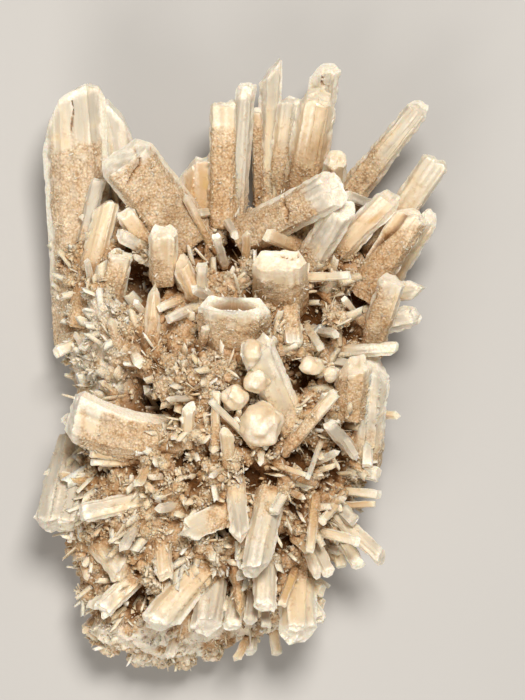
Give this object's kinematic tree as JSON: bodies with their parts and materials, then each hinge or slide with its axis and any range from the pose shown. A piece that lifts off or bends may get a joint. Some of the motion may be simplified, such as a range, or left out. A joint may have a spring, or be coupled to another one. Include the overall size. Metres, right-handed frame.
{
  "type": "gypsum specimen",
  "caption": "Hand-sized cluster of bladed gypsum crystals radiating from a sandy druse, broken flat at the back so that it rests face up for display.",
  "frame": {"origin": "middle of the flat broken back that it rests on", "axes": "+Z out of the crystal face, +Y along the specimen's length towards its fan of longest blades, +X to the right seen from the face"},
  "size_m": [0.104, 0.1544, 0.0476],
  "materials": {
    "gypsum": "sand-coated beige crystals with cream and white tips, milky and slightly translucent"
  },
  "bodies": {
    "root": {"gypsum_cluster": "gypsum"}
  },
  "joints": []
}
